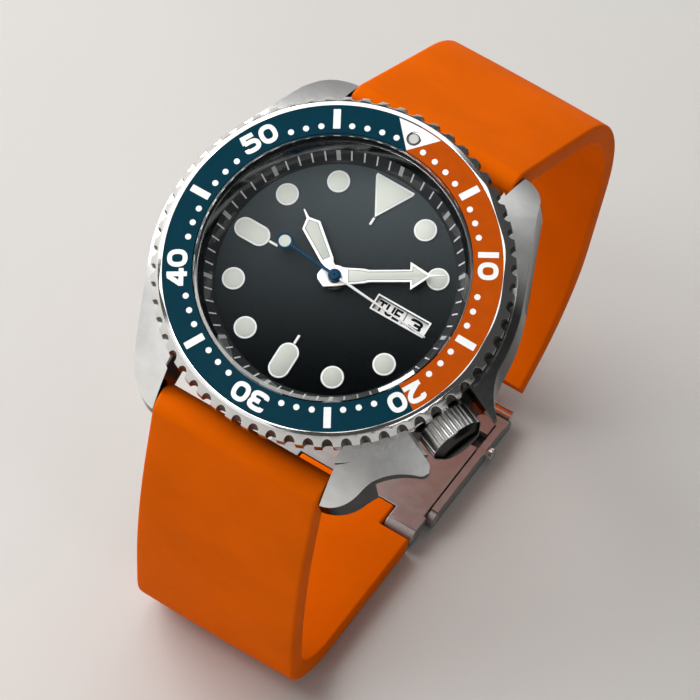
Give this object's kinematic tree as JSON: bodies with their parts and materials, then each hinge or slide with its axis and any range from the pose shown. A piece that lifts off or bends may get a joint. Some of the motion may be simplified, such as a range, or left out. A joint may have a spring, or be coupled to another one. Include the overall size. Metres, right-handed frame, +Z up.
{
  "type": "dive watch",
  "caption": "Automatic dive watch with a notched timing bezel, guarded crown and calendar window, on a closed rubber strap with a folding clasp, standing on its loop.",
  "frame": {"origin": "centre of the flat run of the strap that the watch stands on, at floor level", "axes": "+Z up from the floor, +X towards 3 o'clock on the dial, -Y towards the front, where the dial leans down"},
  "size_m": [0.0447, 0.0753, 0.0743],
  "materials": {
    "case_steel": "brushed tops, polished flanks",
    "bright_steel": "polished",
    "crystal": "clear, polished",
    "seal": "matte",
    "chapter_black": "gloss black",
    "dial_black": "matte charcoal",
    "white_paint": "satin white",
    "lume": "matte cream luminous paint",
    "insert_blue": "satin teal blue with an orange third",
    "hand_blue": "gloss blue tail, white needle",
    "disc_white": "printed white",
    "spring_steel": "satin",
    "nickel": "fine nickel finish",
    "brass": "bright brass",
    "ruby": "clear ruby red",
    "blued_steel": "heat-blued steel",
    "holder_plastic": "matte white plastic",
    "strap_rubber": "matte orange rubber",
    "clasp_steel": "satin"
  },
  "bodies": {
    "head": {"case": "case_steel", "crystal": "crystal", "crystal_gasket": "seal", "chapter_ring": "chapter_black", "dial": "dial_black", "marker_rims": "white_paint", "marker_lume": "lume", "date_frame": "white_paint", "bezel_click_spring": "spring_steel", "bezel_gasket": "seal", "case_back": "case_steel", "case_back_gasket": "seal", "crown_tube": "spring_steel", "movement_holder": "holder_plastic", "mainplate": "nickel", "train_bridge": "nickel", "balance_cock": "nickel", "pallet_bridge": "nickel", "jewels": "ruby", "bridge_screws": "blued_steel", "rotor_bearing": "spring_steel", "spring_bars": "spring_steel"},
    "bezel": {"bezel": "bright_steel", "bezel_insert": "insert_blue", "bezel_pip": "lume"},
    "winding": {"clutch_wheel": "spring_steel"},
    "crown": {"crown": "bright_steel", "crown_gasket": "seal", "stem": "spring_steel"},
    "minute_train": {"centre_wheel": "brass", "cannon_pinion": "spring_steel", "minute_hand": "white_paint", "minute_hand_lume": "lume"},
    "hour_train": {"hour_wheel": "brass", "hour_hand": "white_paint", "hour_hand_lume": "lume"},
    "second_train": {"fourth_wheel": "brass", "second_hand": "hand_blue", "second_hand_lume": "lume"},
    "third_wheel": {"third_wheel": "brass"},
    "minute_wheel": {"minute_wheel": "brass"},
    "barrel": {"barrel": "brass", "mainspring": "spring_steel"},
    "escape_wheel": {"escape_wheel": "spring_steel"},
    "pallet_fork": {"pallet_fork": "spring_steel"},
    "balance": {"balance_wheel": "brass", "hairspring": "blued_steel"},
    "rotor": {"rotor": "nickel"},
    "date_disc": {"date_disc": "disc_white"},
    "day_disc": {"day_disc": "disc_white"},
    "strap_12": {"strap_12": "strap_rubber", "clasp_bar": "spring_steel"},
    "strap_6": {"strap_6": "strap_rubber", "clasp_plate": "clasp_steel", "clasp_pins": "spring_steel"},
    "clasp_cover": {"clasp_cover": "clasp_steel"},
    "button_left": {"clasp_button_left": "bright_steel"},
    "button_right": {"clasp_button_right": "bright_steel"}
  },
  "joints": [
    {"name": "bezel_turn", "type": "hinge", "parent": "head", "child": "bezel", "pos_m": [0, -0.0088, 0.05925], "axis": [0, -0.4384, 0.8988], "continuous": true},
    {"name": "crown_turn", "type": "hinge", "parent": "head", "child": "winding", "pos_m": [0, -0.00872, 0.05907], "axis": [0.9272, -0.3367, -0.1642], "continuous": true},
    {"name": "crown_pull", "type": "slide", "parent": "winding", "child": "crown", "axis": [0.9272, -0.3367, -0.1642], "range_m": [0, 0.0012]},
    {"name": "minute_turn", "type": "hinge", "parent": "head", "child": "minute_train", "pos_m": [0, -0.0088, 0.05925], "axis": [0, 0.4384, -0.8988], "continuous": true},
    {"name": "hour_turn", "type": "hinge", "parent": "head", "child": "hour_train", "pos_m": [0, -0.0088, 0.05925], "axis": [0, 0.4384, -0.8988], "continuous": true},
    {"name": "second_turn", "type": "hinge", "parent": "head", "child": "second_train", "pos_m": [0, -0.0088, 0.05925], "axis": [0, 0.4384, -0.8988], "continuous": true},
    {"name": "third_turn", "type": "hinge", "parent": "head", "child": "third_wheel", "pos_m": [-0.00472, -0.00636, 0.06044], "axis": [0, 0.4384, -0.8988], "continuous": true},
    {"name": "minute_wheel_turn", "type": "hinge", "parent": "head", "child": "minute_wheel", "pos_m": [-0.00413, -0.01016, 0.05859], "axis": [0, 0.4384, -0.8988], "continuous": true},
    {"name": "barrel_turn", "type": "hinge", "parent": "head", "child": "barrel", "pos_m": [0.00168, -0.00316, 0.062], "axis": [0, 0.4384, -0.8988], "continuous": true},
    {"name": "escape_turn", "type": "hinge", "parent": "head", "child": "escape_wheel", "pos_m": [-0.00265, -0.01293, 0.05724], "axis": [0, 0.4384, -0.8988], "continuous": true},
    {"name": "pallet_rock", "type": "hinge", "parent": "head", "child": "pallet_fork", "pos_m": [-0.00115, -0.01526, 0.0561], "axis": [0, 0.4384, -0.8988], "range_deg": [-5, 5]},
    {"name": "balance_swing", "type": "hinge", "parent": "head", "child": "balance", "pos_m": [0.00186, -0.01625, 0.05562], "axis": [0, 0.4384, -0.8988], "range_deg": [-150, 150], "stiffness_Nm_per_rad": 0.00000007, "deforming": ["hairspring"]},
    {"name": "rotor_turn", "type": "hinge", "parent": "head", "child": "rotor", "pos_m": [0, -0.0088, 0.05925], "axis": [0, 0.4384, -0.8988], "continuous": true},
    {"name": "date_turn", "type": "hinge", "parent": "head", "child": "date_disc", "pos_m": [0, -0.0088, 0.05925], "axis": [0, 0.4384, -0.8988], "continuous": true},
    {"name": "day_turn", "type": "hinge", "parent": "head", "child": "day_disc", "pos_m": [0, -0.0088, 0.05925], "axis": [0, 0.4384, -0.8988], "continuous": true},
    {"name": "strap_12_swing", "type": "hinge", "parent": "head", "child": "strap_12", "pos_m": [0, 0.01092, 0.06581], "axis": [1, 0, 0], "range_deg": [0, 80]},
    {"name": "strap_6_swing", "type": "hinge", "parent": "head", "child": "strap_6", "pos_m": [0, -0.02611, 0.04775], "axis": [-1, 0, 0], "range_deg": [0, 80]},
    {"name": "clasp_open", "type": "hinge", "parent": "strap_6", "child": "clasp_cover", "pos_m": [0, 0.01335, 0.00125], "axis": [-1, 0, 0], "range_deg": [0, 120]},
    {"name": "button_left_press", "type": "slide", "parent": "clasp_cover", "child": "button_left", "axis": [1, 0, 0], "range_m": [0, 0.0006], "stiffness_N_per_m": 30},
    {"name": "button_right_press", "type": "slide", "parent": "clasp_cover", "child": "button_right", "axis": [-1, 0, 0], "range_m": [0, 0.0006], "stiffness_N_per_m": 30}
  ],
  "couplings": [
    {"joint": "hour_turn", "follows": "minute_turn", "ratio": 0.083333},
    {"joint": "second_turn", "follows": "minute_turn", "ratio": 60},
    {"joint": "third_turn", "follows": "minute_turn", "ratio": -7.5},
    {"joint": "minute_wheel_turn", "follows": "minute_turn", "ratio": -0.33333},
    {"joint": "barrel_turn", "follows": "minute_turn", "ratio": -0.16667},
    {"joint": "escape_turn", "follows": "minute_turn", "ratio": -720}
  ]
}
